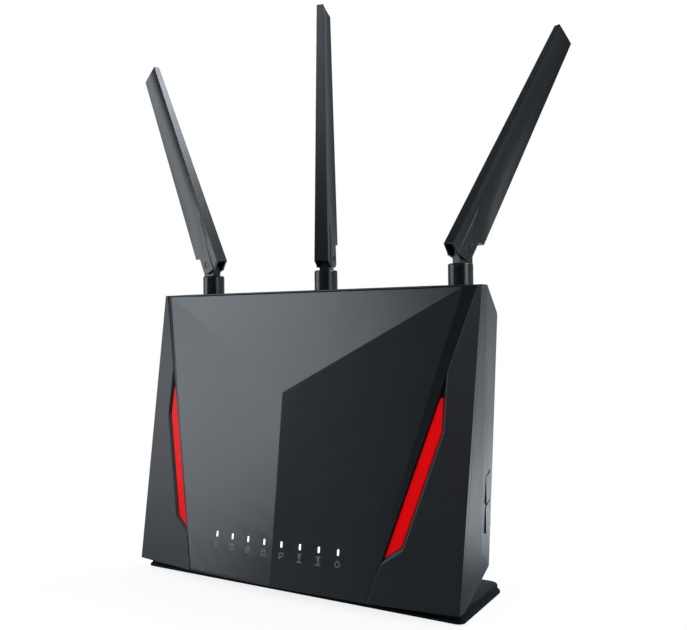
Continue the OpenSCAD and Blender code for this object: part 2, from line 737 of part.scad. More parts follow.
// Finned plate: its base lies from y_base, its count fins reach to y_tip
module finned(w, h, z, y_base, y_tip, count) {
    d = sign(y_tip - y_base);
    y1 = y_base + d * sink_base_t;
    block(0, z, w, h, min(y_base, y1), max(y_base, y1));
    for (i = [0:count - 1])
        block((i / (count - 1) - 0.5) * (w - fin_t), z, fin_t, h, min(y1 - d * 0.1, y_tip), max(y1 - d * 0.1, y_tip));
}
module heatsink_rear() color("silver")
    finned(sink_w, rear_sink_h, can_z, board_back + chip_t, rear_y(can_z) - wall - fin_gap, fin_count);
module heatsink_front() color("silver")
    finned(sink_w, front_sink_h, front_sink_z, board_y - chip_t, board_y - chip_t - front_fin_l, fin_count);

mouth_lift = 0.8;
key_w = 6;
key_h = 4;
latch_w = 3.2;
latch_h = 6.4;
contact_pitch = 1.02;
contact_l = 9;
contact_size = [0.45, 0.5];

// Mouth of a network socket, with the steps for the plug's latch under it
module jack_mouth(x) {
    y0 = bay_y + jack_out - mouth_d;
    block(x, port_z + mouth_lift, mouth_w, mouth_h, y0, far);
    block(x, port_z - mouth_h / 2, key_w, key_h, y0, far);
    block(x, port_z - mouth_h / 2, latch_w, latch_h, y0, far);
}
module jack_body(x, w, mouths) difference() {
    block(x, port_z, w, jack_h, board_back, bay_y + jack_out);
    for (m = mouths) jack_mouth(m);
}
module wan_jack() color("#2a62b8") jack_body(wan_x, jack_w, [wan_x]);
module lan_jacks() color("#d9a514") jack_body(lan_x, lan_w, lan_xs);
module jack_contacts() {
    z = port_z + mouth_lift + (mouth_h - contact_size[1]) / 2 - fit / 3;
    y0 = bay_y + jack_out - mouth_d;
    color(gold) for (x = concat([wan_x], lan_xs)) for (i = [-3.5:3.5])
        block(x + i * contact_pitch, z, contact_size[0], contact_size[1], y0, y0 + contact_l);
}
usb_t = 0.35;
usb_floor_y = 17;
module usb_shells() {
    color(bright_metal) for (x = usb_xs) difference() {
        block(x, port_z, usb_w, usb_h, board_back, bay_y + jack_out);
        block(x, port_z, usb_w - 2 * usb_t, usb_h - 2 * usb_t, usb_floor_y, far);
    }
}
module usb_tongues() {
    color("#1e66c9") for (x = usb_xs) {
        block(x, port_z, usb_w - 2 * usb_t - fit, usb_h - 2 * usb_t - fit, usb_floor_y, usb_floor_y + 1.5);
        block(x, port_z + 0.6, usb_w - 2.2, 1.9, usb_floor_y + 1, bay_y - 1);
    }
}
inlet_floor_y = 19;
module dc_inlet() {
    color("#101113") difference() {
        block(inlet_x, port_z, inlet_size[0], inlet_size[1], board_back, bay_y + jack_out);
        rod(inlet_x, port_z, inlet_r, inlet_floor_y, far, 48);
    }
}
module dc_pin() color(gold) rod(inlet_x, port_z, inlet_pin_r, inlet_floor_y, bay_y - 1.5);

power_floor_y = 26;
flange_t = 0.9;
power_out = 3;
module power_switch() color("#101113") block(power_x, port_z, power_switch_w, power_switch_w, board_back, power_floor_y);
module power_button() {
    y1 = bay_y - bay_floor_t - fit;
    color("#2b2d30") {
        rod(power_x, port_z, power_r, y1 - 0.1, bay_y + power_out, 48);
        rod(power_x, port_z, power_r + 0.9, y1 - flange_t, y1, 48);
    }
}
module reset_switch() color("#101113") block(reset_x, port_z, reset_switch_w, reset_switch_w, board_back, bay_y - bay_floor_t - 2 * flange_t);
module reset_button() {
    y1 = bay_y - bay_floor_t - fit;
    color("#c33") {
        rod(reset_x, port_z, reset_r, y1 - 0.1, bay_y - 0.3);
        rod(reset_x, port_z, reset_r + 0.9, y1 - 0.6, y1);
    }
}

// ---- Stand ----
plate_chamfer = 0.5;
lip_chamfer = 0.7;
foot_t = 1.6;
foot_w = 8;
front_foot_l = 140;
rear_foot_l = 120;
stand_corners = [
    [stand_front_x - 2, -stand_front_y + 2, 2],
    [stand_rear_x - stand_round, stand_rear_y - stand_round, stand_round]];
rear_foot_inset = 11;
foot_rear_y = stand_rear_y - rear_foot_inset;
neck_w = 120;
neck_front_y = -4;
neck_back_y = 27;

// Stadium of length l and width w round [0, y], from z0 to z1
module strip(y, l, w, z0, z1) translate([0, y, z0]) linear_extrude(z1 - z0) {
    square([l - w, w], center = true);
    for (s = [-1, 1]) translate([s * (l - w) / 2, 0]) circle(w / 2, $fn = 32);
}
// Rounded plate from z0 to z1, the stand's outline grown by out, with its upper edge chamfered
module plate(out, z0, z1, chamfer) {
    hull() for (s = [-1, 1]) for (c = stand_corners) translate([s * c[0], c[1], z0]) {
        cylinder(r = c[2] + out, h = z1 - z0 - chamfer, $fn = 32);
        cylinder(r = c[2] + out - chamfer, h = z1 - z0, $fn = 32);
    }
}
module base_stand() {
    color("#141517") difference() {
        union() {
            plate(0, foot_lift, stand_top, plate_chamfer);
            plate(lip_out, foot_lift, foot_lift + lip_t, lip_chamfer);
            difference() {
                translate([-neck_w / 2, neck_front_y, stand_top - 1]) cube([neck_w, neck_back_y - neck_front_y, rear_foot_z]);
                body_form(-fit);
            }
        }
        strip(0, front_foot_l + 2 * fit, foot_w + 2 * fit, 0, foot_t);
        strip(foot_rear_y, rear_foot_l + 2 * fit, foot_w + 2 * fit, 0, foot_t);
        for (s = [-1, 1]) translate([s * stand_screw[0], stand_screw[1], 0]) {
            cylinder(r = screw_r + fit, h = far, $fn = 32);
            cylinder(r = screw_head_r + fit, h = foot_lift + screw_sink, $fn = 32);
        }
    }
}
module stand_screws() {
    z = foot_lift + screw_sink;
    color(bright_metal) for (s = [-1, 1]) translate([s * stand_screw[0], stand_screw[1], 0]) {
        difference() {
            translate([0, 0, z - screw_head_t]) cylinder(r = screw_head_r, h = screw_head_t - fit / 3, $fn = 32);
            for (a = [0, 90]) translate([0, 0, z - screw_head_t]) rotate(a) cube([0.7, 3, 2], center = true);
        }
        translate([0, 0, z - 1]) cylinder(r = screw_r, h = stand_post_top - z - 1, $fn = 32);
    }
}
module rubber_feet() {
    color("#26282a") {
        strip(0, front_foot_l, foot_w, 0, foot_t - 0.05);
        strip(foot_rear_y, rear_foot_l, foot_w, 0, foot_t - 0.05);
    }
}

// ---- Aerials ----
flange_z = boss_foot - 2.8;
flange_r = 4.6;
nut_r = 5.4;
nut_t = 1.9;
sleeve_foot = boss_top + nut_t + 0.4;
thread_top = 164.5;
lead_steps = 12;

module aerial_connectors() {
    color(gold) for (x = aerial_xs) translate([x, aerial_y, 0]) {
        translate([0, 0, flange_z]) cylinder(r = flange_r, h = boss_foot - fit / 2 - flange_z, $fn = 6);
        translate([0, 0, flange_z - 3]) cylinder(r = thread_r, h = thread_top - flange_z + 3, $fn = 48);
    }
}
module connector_nuts() {
    color(bright_metal) for (x = aerial_xs) translate([x, aerial_y, boss_top]) difference() {
        cylinder(r = nut_r, h = nut_t, $fn = 6);
        translate([0, 0, -1]) cylinder(r = thread_r + fit / 3, h = nut_t + 2, $fn = 48);
    }
}

function bezier(p, t) = let (u = 1 - t)
    u * u * u * p[0] + 3 * u * u * t * p[1] + 3 * u * t * t * p[2] + t * t * t * p[3];
function unit(v) = v / norm(v);

// Round tube of radius r along a Bezier curve
module tube(p, r, steps, sides = 8) {
    path = [for (i = [0:steps]) bezier(p, i / steps)];
    dirs = [for (i = [0:steps]) unit(path[min(i + 1, steps)] - path[max(i - 1, 0)])];
    points = [for (i = [0:steps]) let (a = unit(cross(dirs[i], [1, 0, 0])), b = cross(dirs[i], a))
        for (k = [0:sides - 1]) path[i] + r * (cos(360 * k / sides) * a + sin(360 * k / sides) * b)];
    polyhedron(points, concat(
        [[for (k = [0:sides - 1]) k]], [[for (k = [sides - 1:-1:0]) steps * sides + k]],
        [for (i = [0:steps - 1]) for (k = [0:sides - 1]) let (m = (k + 1) % sides, a = i * sides, b = a + sides)
            each [[a + k, b + k, a + m], [a + m, b + k, b + m]]]));
}
module coax_leads() {
    color("#3a3c40") for (x = aerial_xs) {
        in = x == 0 ? lead_in : -sign(x) * lead_in;
        end = [x + in, board_back + puck_t / 2, lead_end_z];
        tube([[x, aerial_y, flange_z - 3.1], [x, aerial_y, flange_z - lead_drop],
            end + [0, lead_bow, 3], end + [0, puck_t / 2 + 0.1, 0]], lead_r, lead_steps);
        rod(end[0], end[2], puck_r, board_back, board_back + puck_t);
    }
}

// Children in the frame of a blade: X towards its lean, Y along the hinge pin, Z along the blade, pin at the origin
module at_swing(i) translate([aerial_xs[i], aerial_y, 0]) rotate([0, 0, swings[i] - 90]) children();
module at_pin(i) at_swing(i) translate([pin_offset, 0, pin_z]) rotate([0, leans[i], 0]) children();
// Cylinder of radius r along Y through the origin
module cross_rod(r, l) rotate([90, 0, 0]) cylinder(r = r, h = l, center = true, $fn = 48);

module sleeve(i) {
    lead = 0.6;
    color("#1a1b1d") at_swing(i) difference() {
        union() {
            translate([0, 0, sleeve_foot]) cylinder(r = sleeve_r, h = sleeve_top - sleeve_foot - lead, $fn = 64);
            translate([0, 0, sleeve_top - lead - 0.01]) cylinder(r1 = sleeve_r, r2 = sleeve_r - lead, h = lead, $fn = 64);
            translate([pin_offset - tongue_r, -tongue_t / 2, sleeve_top - 2]) cube([2 * tongue_r, tongue_t, pin_z - sleeve_top + 2]);
            translate([pin_offset, 0, pin_z]) cross_rod(tongue_r, tongue_t);
        }
        translate([0, 0, sleeve_foot - 1]) cylinder(r = thread_r + run_gap, h = thread_top - sleeve_foot + 1.3, $fn = 48);
        translate([pin_offset, 0, pin_z]) cross_rod(pin_r + run_gap, 2 * tongue_t);
    }
}
pin_sink = 0.35;
module hinge_pin(i) color(bright_metal) at_pin(i) cross_rod(pin_r, blade_t + 2 * grip_t - 2 * pin_sink);

notch_z = 7.6;
heel_z = -1.7;
tine_foot = 5.2;
tine_toe = 4.4;
tine_heel = 4;
tip_bow = 0.7;
grip_line = 4.7;

// Outline of the blade's broad side, X towards its lean and Y along it
module blade_outline() {
    polygon([
        [-blade_heel, heel_z], [-tine_heel, -tine_foot], [tine_toe - 3, -tine_foot],
        for (a = [-60, -30, 0]) [tine_toe - 3 + 3 * cos(a), -tine_foot + 3 + 3 * sin(a)],
        [tine_toe, notch_z], [blade_toe, notch_z],
        for (t = [0:0.25:1]) let (k = 4 * tip_bow * t * (1 - t))
            [mix(tip_half, -tip_half, t) + k * tip_cut / (2 * tip_half), mix(blade_l - tip_cut, blade_l, t) + k]]);
}
// Outline of its narrow side, thicker by grip at the foot
module blade_taper(grip, top_z, top_t) {
    foot = -tine_foot - 1;
    slope = (blade_t - tip_t) / blade_l;
    half = (blade_t - slope * foot) / 2 + grip;
    polygon([[-half, foot], [half, foot], [top_t / 2, top_z], [-top_t / 2, top_z]]);
}
module blade(i) {
    grip_top_t = mix(blade_t, tip_t, grip_l / blade_l);
    color("#1a1b1d") at_pin(i) difference() {
        union() {
            intersection() {
                rotate([90, 0, 0]) linear_extrude(3 * blade_t, center = true) blade_outline();
                rotate([90, 0, 90]) linear_extrude(4 * blade_heel, center = true) blade_taper(0, blade_l + 1, tip_t);
            }
            intersection() {
                rotate([90, 0, 0]) linear_extrude(3 * blade_t, center = true) intersection() {
                    blade_outline();
                    translate([-grip_line, -tine_foot - 1]) square([4 * blade_toe, grip_l + tine_foot + 1]);
                }
                rotate([90, 0, 90]) linear_extrude(4 * blade_heel, center = true) blade_taper(grip_t, grip_l, grip_top_t);
            }
        }
        slot_r = tongue_r + 0.55;
        rotate([90, 0, 0]) linear_extrude(tongue_t + 2 * tongue_gap, center = true) {
            circle(slot_r, $fn = 48);
            translate([0, -3 * tine_foot]) square([2 * blade_toe, 3 * tine_foot + slot_r]);
            translate([-2 * blade_heel, -3 * tine_foot]) square([2 * blade_heel + 0.1, 3 * tine_foot + heel_z]);
        }
        cross_rod(pin_r + run_gap / 3, 3 * blade_t);
    }
}
module left_sleeve() sleeve(0);
module middle_sleeve() sleeve(1);
module right_sleeve() sleeve(2);
module left_hinge_pin() hinge_pin(0);
module middle_hinge_pin() hinge_pin(1);
module right_hinge_pin() hinge_pin(2);
module left_blade() blade(0);
module middle_blade() blade(1);
module right_blade() blade(2);

front_panel();
front_bezel();
rear_housing();
port_panel();
accent_liner_left();
accent_liner_right();
accent_strip_left();
accent_strip_right();
light_guide();
status_leds();
main_board();
board_screws();
chips();
shield_cans();
heatsink_front();
heatsink_rear();
wan_jack();
lan_jacks();
jack_contacts();
usb_shells();
usb_tongues();
dc_inlet();
dc_pin();
power_switch();
power_button();
reset_switch();
reset_button();
side_switches();
wps_button();
wifi_button();
housing_screws();
base_stand();
stand_screws();
rubber_feet();
aerial_connectors();
connector_nuts();
coax_leads();
left_sleeve();
left_hinge_pin();
left_blade();
middle_sleeve();
middle_hinge_pin();
middle_blade();
right_sleeve();
right_hinge_pin();
right_blade();
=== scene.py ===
"""Upright wireless router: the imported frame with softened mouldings, printed signs and studio light.

Metres, in the frame's own axes: X to the right seen from the front, Y to the back, Z up.
"""
import json
import math

import bmesh
import bpy
from mathutils import Matrix, Vector
from mathutils.bvhtree import BVHTree


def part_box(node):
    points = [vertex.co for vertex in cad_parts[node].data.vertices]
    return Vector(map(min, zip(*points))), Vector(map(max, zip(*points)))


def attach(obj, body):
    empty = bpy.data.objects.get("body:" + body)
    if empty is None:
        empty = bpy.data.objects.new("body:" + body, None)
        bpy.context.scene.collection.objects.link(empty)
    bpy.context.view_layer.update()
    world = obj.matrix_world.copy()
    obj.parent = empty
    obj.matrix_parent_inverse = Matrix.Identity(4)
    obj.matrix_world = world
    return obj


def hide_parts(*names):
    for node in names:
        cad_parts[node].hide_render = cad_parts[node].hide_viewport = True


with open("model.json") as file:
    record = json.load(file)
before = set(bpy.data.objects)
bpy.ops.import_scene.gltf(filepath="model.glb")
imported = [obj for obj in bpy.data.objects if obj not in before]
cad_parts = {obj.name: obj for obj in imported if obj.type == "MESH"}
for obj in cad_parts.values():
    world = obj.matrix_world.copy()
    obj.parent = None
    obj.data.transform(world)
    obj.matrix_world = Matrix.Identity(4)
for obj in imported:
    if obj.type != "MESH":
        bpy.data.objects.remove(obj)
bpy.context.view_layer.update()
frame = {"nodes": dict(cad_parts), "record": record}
nodes = frame["nodes"]
node_slots = {part["node"]: part["material_slot"] for part in frame["record"]["subparts"]}
body_nodes = frame["record"]["behaviour"]["bodies"]
node_bodies = {node: body for body, members in body_nodes.items() for node in members}
MM = 0.001
AERIALS = ("left", "middle", "right")


# ---- Shader helpers ----
# Of a Mix node, for each kind: its first input, its second input and its output.
MIX_SOCKETS = {"FLOAT": (2, 3, 0), "RGBA": (6, 7, 2)}


def new_group(name, takes, gives):
    """Empty node group with named inputs (name, kind, value) and outputs (name, kind)."""
    tree = bpy.data.node_groups.new(name, "ShaderNodeTree")
    for label, kind, value in takes:
        socket = tree.interface.new_socket(label, in_out="INPUT", socket_type="NodeSocket" + kind)
        socket.default_value = value
    for label, kind in gives:
        tree.interface.new_socket(label, in_out="OUTPUT", socket_type="NodeSocket" + kind)
    return tree, tree.nodes.new("NodeGroupInput"), tree.nodes.new("NodeGroupOutput")


def feed(tree, socket, value):
    """Links value to socket if it is a socket, and otherwise sets it."""
    if isinstance(value, bpy.types.NodeSocket):
        tree.links.new(value, socket)
    else:
        socket.default_value = value


def maths(tree, operation, a, b, clamp=False):
    """Output of a Math node."""
    made = tree.nodes.new("ShaderNodeMath")
    made.operation = operation
    made.use_clamp = clamp
    feed(tree, made.inputs[0], a)
    feed(tree, made.inputs[1], b)
    return made.outputs[0]


def plus(tree, a, b, clamp=False):
    return maths(tree, "ADD", a, b, clamp)


def minus(tree, a, b, clamp=False):
    return maths(tree, "SUBTRACT", a, b, clamp)


def times(tree, a, b):
    return maths(tree, "MULTIPLY", a, b)


def rest_of(tree, share):
    """1 where share is 0, and 0 where it is 1."""
    return minus(tree, 1.0, share)


def blend_of(tree, share, low, high, kind="RGBA"):
    """Output of a Mix node: low where share is 0, high where it is 1."""
    made = tree.nodes.new("ShaderNodeMix")
    made.data_type = kind
    first, second, result = MIX_SOCKETS[kind]
    feed(tree, made.inputs[0], share)
    feed(tree, made.inputs[first], low)
    feed(tree, made.inputs[second], high)
    return made.outputs[result]


def spread_of(tree, value, low, high):
    """Output of a Map Range node from low..high to 0..1, with soft ends."""
    made = tree.nodes.new("ShaderNodeMapRange")
    made.interpolation_type = "SMOOTHSTEP"
    feed(tree, made.inputs["Value"], value)
    feed(tree, made.inputs["From Min"], low)
    feed(tree, made.inputs["From Max"], high)
    return made.outputs["Result"]


def axes_of(tree, vector):
    """The X, Y and Z outputs of a vector."""
    split = tree.nodes.new("ShaderNodeSeparateXYZ")
    tree.links.new(vector, split.inputs[0])
    return split.outputs


def place_of(tree):
    return tree.nodes.new("ShaderNodeTexCoord").outputs["Object"]


def facing_of(tree):
    return tree.nodes.new("ShaderNodeNewGeometry").outputs["Normal"]


def cloud_of(tree, size, detail, stretch=None):
    """Noise from 0 to 1 with lumps of about size metres, drawn out on an axis where stretch is below 1."""
    place = place_of(tree)
    if stretch is not None:
        scaled = tree.nodes.new("ShaderNodeVectorMath")
        scaled.operation = "MULTIPLY"
        scaled.inputs[1].default_value = stretch
        tree.links.new(place, scaled.inputs[0])
        place = scaled.outputs[0]
    noise = tree.nodes.new("ShaderNodeTexNoise")
    tree.links.new(place, noise.inputs["Vector"])
    feed(tree, noise.inputs["Scale"], maths(tree, "DIVIDE", 1.0, size))
    noise.inputs["Detail"].default_value = detail
    return noise.outputs["Fac"]


def swing_of(tree, size, detail, stretch=None):
    """The same noise, from -1 to 1."""
    return times(tree, minus(tree, cloud_of(tree, size, detail, stretch), 0.5), 2.0)


# ---- Shader groups ----
# Mould grain: coarse lumps are so many times as large as the fine ones.
COARSE_GRAIN = 4.0
COARSE_SHARE = 0.3
FINE_SHARE = 0.7

# Edges: how far the rounded normal turns away where wear begins and where it is full.
EDGE_RAYS = 6
EDGE_FROM = 0.02
EDGE_FULL = 0.2
WEAR_PATCH = 6 * MM
WEAR_FROM = 0.4
WEAR_FULL = 0.7

# Dust: how far up a face looks where dust begins to lie and where it is full.
DUST_FACES_FROM = 0.3
DUST_FACES_FULL = 0.95
DUST_PATCH = 20 * MM
DUST_PATCH_FROM = 0.35
DUST_PATCH_FULL = 0.75
DUST_SPECK = 0.9 * MM
DUST_SPECK_FROM = 0.62
DUST_SPECK_FULL = 0.72

# Gloss and drawn lines.
WIPED_PATCH = 30 * MM
SMEAR = 4 * MM
SMEAR_STRETCH = (1.0, 1.0, 0.25)
SMEAR_SHARE = 0.5
BRUSH_STRETCH = (1.0, 1.0, 0.04)


def colour_drift():
    """Slow change of shade over a moulding."""
    takes = [("Colour", "Color", (0.5, 0.5, 0.5, 1)), ("Drift", "Float", 0.1), ("Patch", "Float", 40 * MM)]
    tree, given, out = new_group("Colour drift", takes, [("Colour", "Color")])
    swing = swing_of(tree, given.outputs["Patch"], detail=3)
    level = plus(tree, 1.0, times(tree, swing, given.outputs["Drift"]))
    scaled = tree.nodes.new("ShaderNodeVectorMath")
    scaled.operation = "SCALE"
    tree.links.new(given.outputs["Colour"], scaled.inputs[0])
    tree.links.new(level, scaled.inputs["Scale"])
    tree.links.new(scaled.outputs[0], out.inputs["Colour"])
    return tree


def mould_grain():
    """Spark-eroded texture of a mould, as a height in metres, and its fine speckle."""
    takes = [("Grain", "Float", 0.5 * MM), ("Depth", "Float", 0.02 * MM)]
    tree, given, out = new_group("Mould grain", takes, [("Height", "Float"), ("Speckle", "Float")])
    fine = cloud_of(tree, given.outputs["Grain"], detail=3)
    coarse = cloud_of(tree, times(tree, given.outputs["Grain"], COARSE_GRAIN), detail=1)
    both = plus(tree, times(tree, fine, FINE_SHARE), times(tree, coarse, COARSE_SHARE))
    tree.links.new(times(tree, both, given.outputs["Depth"]), out.inputs["Height"])
    tree.links.new(both, out.inputs["Speckle"])
    return tree


def soft_edges():
    """Normal rounded off along edges, and a mask of the edges that hands and cloths have polished."""
    takes = [("Radius", "Float", 0.5 * MM), ("Wear", "Float", 0.5)]
    tree, given, out = new_group("Soft edges", takes, [("Normal", "Vector"), ("Worn", "Float")])
    rounded = tree.nodes.new("ShaderNodeBevel")
    rounded.samples = EDGE_RAYS
    tree.links.new(given.outputs["Radius"], rounded.inputs["Radius"])
    likeness = tree.nodes.new("ShaderNodeVectorMath")
    likeness.operation = "DOT_PRODUCT"
    tree.links.new(rounded.outputs["Normal"], likeness.inputs[0])
    tree.links.new(facing_of(tree), likeness.inputs[1])
    edge = spread_of(tree, rest_of(tree, likeness.outputs["Value"]), EDGE_FROM, EDGE_FULL)
    patchy = spread_of(tree, cloud_of(tree, WEAR_PATCH, detail=4), WEAR_FROM, WEAR_FULL)
    worn = times(tree, times(tree, edge, patchy), given.outputs["Wear"])
    tree.links.new(rounded.outputs["Normal"], out.inputs["Normal"])
    tree.links.new(worn, out.inputs["Worn"])
    return tree


def settled_dust():
    """Mask of the fine dust that lies on what faces up."""
    tree, given, out = new_group("Settled dust", [("Amount", "Float", 0.2)], [("Dust", "Float")])
    flat = spread_of(tree, axes_of(tree, facing_of(tree))["Z"], DUST_FACES_FROM, DUST_FACES_FULL)
    patches = spread_of(tree, cloud_of(tree, DUST_PATCH, detail=6), DUST_PATCH_FROM, DUST_PATCH_FULL)
    specks = spread_of(tree, cloud_of(tree, DUST_SPECK, detail=2), DUST_SPECK_FROM, DUST_SPECK_FULL)
    lying = times(tree, flat, plus(tree, patches, specks, clamp=True))
    tree.links.new(times(tree, lying, given.outputs["Amount"]), out.inputs["Dust"])
    return tree


def handled_gloss():
    """Roughness that drifts with handling, wiping and fine smears."""
    takes = [("Roughness", "Float", 0.4), ("Spread", "Float", 0.05)]
    tree, given, out = new_group("Handled gloss", takes, [("Roughness", "Float")])
    wiped = swing_of(tree, WIPED_PATCH, detail=3)
    smears = times(tree, swing_of(tree, SMEAR, detail=3, stretch=SMEAR_STRETCH), SMEAR_SHARE)
    change = times(tree, plus(tree, wiped, smears), given.outputs["Spread"])
    tree.links.new(plus(tree, given.outputs["Roughness"], change), out.inputs["Roughness"])
    return tree


def brushed_lines():
    """Fine parallel lines of rolled or brushed metal, as a height in metres and a mask."""
    takes = [("Line", "Float", 0.3 * MM), ("Depth", "Float", 0.01 * MM)]
    tree, given, out = new_group("Brushed lines", takes, [("Height", "Float"), ("Lines", "Float")])
    lines = cloud_of(tree, given.outputs["Line"], detail=3, stretch=BRUSH_STRETCH)
    tree.links.new(times(tree, lines, given.outputs["Depth"]), out.inputs["Height"])
    tree.links.new(lines, out.inputs["Lines"])
    return tree


DRIFT = colour_drift()
GRAIN = mould_grain()
EDGES = soft_edges()
DUST = settled_dust()
GLOSS = handled_gloss()
BRUSHED = brushed_lines()


# ---- Materials ----
# Mouldings.
DUST_COLOUR = (0.30, 0.29, 0.27, 1)
DUST_ROUGHNESS = 0.85
MOULDING_PATCH = 50 * MM
SPECKLE_SHARE = 0.25
SPECKLE_LIFT = 1.5
WORN_LIFT = 2.2
WORN_LEAST = 0.004
WORN_SMOOTHER = 0.12

# Metals.
METAL_LINE_DEPTH = 0.006 * MM
METAL_POLISH = 1.2
TARNISH = (0.12, 0.11, 0.10, 1)
TARNISH_SHARE = 0.18

# Accent strips.
ACCENT_RED = (0.95, 0.0015, 0.003)
COAT = 0.04
COAT_ROUGHNESS = 0.08

# Main board.
MASK_GREEN = (0.010, 0.085, 0.030, 1)
TRACK_GREEN = (0.03, 0.16, 0.05, 1)
TRACKS_PER_METRE = 160
TRACK_WIDTH = 0.08
TRACK_PROUD = 0.04 * MM

# Light guide.
GUIDE_MILK = (0.82, 0.84, 0.86, 1)
GLOW_COOL = (0.88, 0.95, 1.0, 1)
GLOW_WHITE = (1.0, 1.0, 1.0, 1)
GLOW_NONE = (0.0, 0.0, 0.0, 1)
GLOW_PATCH = 1.2 * MM
GLOW_FACES_FROM = 0.7
GLOW_FACES_FULL = 0.9


def new_material(name):
    """A material with its node tree and its Principled BSDF."""
    material = bpy.data.materials.new(name)
    material.use_nodes = True
    return material, material.node_tree, material.node_tree.nodes["Principled BSDF"]


def place_group(tree, group, **values):
    """The outputs of a group placed in a material with its inputs set."""
    made = tree.nodes.new("ShaderNodeGroup")
    made.node_tree = group
    for label, value in values.items():
        feed(tree, made.inputs[label], value)
    return made.outputs


def bump_of(tree, height, normal):
    """The normal with a height in metres laid on it."""
    made = tree.nodes.new("ShaderNodeBump")
    made.inputs["Distance"].default_value = 1.0
    tree.links.new(height, made.inputs["Height"])
    tree.links.new(normal, made.inputs["Normal"])
    return made.outputs["Normal"]


def moulded(name, colour, roughness, grain=0.5 * MM, depth=0.02 * MM, radius=0.4 * MM,
            wear=0.4, dust=0.12, drift=0.08, spread=0.05, specular=0.5):
    """Moulded plastic or rubber: drifting shade, grain, polished edges, handled gloss and dust."""
    material, tree, shader = new_material(name)
    base = place_group(tree, DRIFT, Colour=(*colour, 1), Drift=drift, Patch=MOULDING_PATCH)["Colour"]
    edges = place_group(tree, EDGES, Radius=radius, Wear=wear)
    texture = place_group(tree, GRAIN, Grain=grain, Depth=depth)
    lying = place_group(tree, DUST, Amount=dust)["Dust"]
    gloss = place_group(tree, GLOSS, Roughness=roughness, Spread=spread)["Roughness"]
    speckle = (*[v * SPECKLE_LIFT for v in colour], 1)
    speckled = blend_of(tree, times(tree, texture["Speckle"], SPECKLE_SHARE), base, speckle)
    polish = (*[min(1, v * WORN_LIFT + WORN_LEAST) for v in colour], 1)
    polished = blend_of(tree, edges["Worn"], speckled, polish)
    feed(tree, shader.inputs["Base Color"], blend_of(tree, lying, polished, DUST_COLOUR))
    smoother = minus(tree, gloss, times(tree, edges["Worn"], WORN_SMOOTHER), clamp=True)
    feed(tree, shader.inputs["Roughness"], blend_of(tree, lying, smoother, DUST_ROUGHNESS, "FLOAT"))
    feed(tree, shader.inputs["Normal"], bump_of(tree, texture["Height"], edges["Normal"]))
    shader.inputs["Specular IOR Level"].default_value = specular
    return material


def metal(name, colour, roughness, line=0.3 * MM):
    """Plain or plated metal with drawn lines, dulled patches and polished edges."""
    material, tree, shader = new_material(name)
    base = place_group(tree, DRIFT, Colour=(*colour, 1), Drift=0.06, Patch=10 * MM)["Colour"]
    edges = place_group(tree, EDGES, Radius=0.15 * MM, Wear=0.6)
    lines = place_group(tree, BRUSHED, Line=line, Depth=METAL_LINE_DEPTH)
    gloss = place_group(tree, GLOSS, Roughness=roughness, Spread=0.12)["Roughness"]
    dulled = blend_of(tree, times(tree, lines["Lines"], TARNISH_SHARE), base, TARNISH)
    polish = (*[min(1, v * METAL_POLISH) for v in colour], 1)
    feed(tree, shader.inputs["Base Color"], blend_of(tree, edges["Worn"], dulled, polish))
    feed(tree, shader.inputs["Roughness"], gloss)
    feed(tree, shader.inputs["Normal"], bump_of(tree, lines["Height"], edges["Normal"]))
    shader.inputs["Metallic"].default_value = 1.0
    return material


def accent_red():
    """Glossy red moulding under a clear coat."""
    material = moulded("accent red", ACCENT_RED, 0.34, depth=0.002 * MM, wear=0.1, dust=0.02,
                       drift=0.04, spread=0.04, specular=0.05)
    shader = material.node_tree.nodes["Principled BSDF"]
    shader.inputs["Coat Weight"].default_value = COAT
    shader.inputs["Coat Roughness"].default_value = COAT_ROUGHNESS
    return material


def board_mask():
    """Green solder mask over faint copper tracks, on a board that stands upright."""
    material, tree, shader = new_material("solder mask")
    base = place_group(tree, DRIFT, Colour=MASK_GREEN, Drift=0.1, Patch=20 * MM)["Colour"]
    turned = tree.nodes.new("ShaderNodeMapping")
    turned.inputs["Rotation"].default_value = (math.radians(90), 0, 0)
    tree.links.new(place_of(tree), turned.inputs["Vector"])
    tracks = tree.nodes.new("ShaderNodeTexBrick")
    tracks.inputs["Scale"].default_value = TRACKS_PER_METRE
    tracks.inputs["Mortar Size"].default_value = TRACK_WIDTH
    tree.links.new(turned.outputs["Vector"], tracks.inputs["Vector"])
    feed(tree, shader.inputs["Base Color"], blend_of(tree, tracks.outputs["Fac"], base, TRACK_GREEN))
    gloss = place_group(tree, GLOSS, Roughness=0.32, Spread=0.1)["Roughness"]
    feed(tree, shader.inputs["Roughness"], gloss)
    edges = place_group(tree, EDGES, Radius=0.2 * MM, Wear=0.2)
    copper = times(tree, tracks.outputs["Fac"], TRACK_PROUD)
    feed(tree, shader.inputs["Normal"], bump_of(tree, copper, edges["Normal"]))
    return material


def lit_guide():
    """Milky light pipe: its ends, which face the front, glow."""
    material, tree, shader = new_material("light guide")
    base = place_group(tree, DRIFT, Colour=GUIDE_MILK, Drift=0.05, Patch=4 * MM)["Colour"]
    edges = place_group(tree, EDGES, Radius=0.2 * MM, Wear=0.0)
    towards_front = times(tree, axes_of(tree, facing_of(tree))["Y"], -1.0)
    ends = spread_of(tree, towards_front, GLOW_FACES_FROM, GLOW_FACES_FULL)
    glow = blend_of(tree, cloud_of(tree, GLOW_PATCH, detail=1), GLOW_COOL, GLOW_WHITE)
    gloss = place_group(tree, GLOSS, Roughness=0.3, Spread=0.08)["Roughness"]
    feed(tree, shader.inputs["Base Color"], base)
    feed(tree, shader.inputs["Emission Color"], blend_of(tree, ends, GLOW_NONE, glow))
    feed(tree, shader.inputs["Roughness"], gloss)
    feed(tree, shader.inputs["Normal"], edges["Normal"])
    shader.inputs["Emission Strength"].default_value = 1.0
    return material


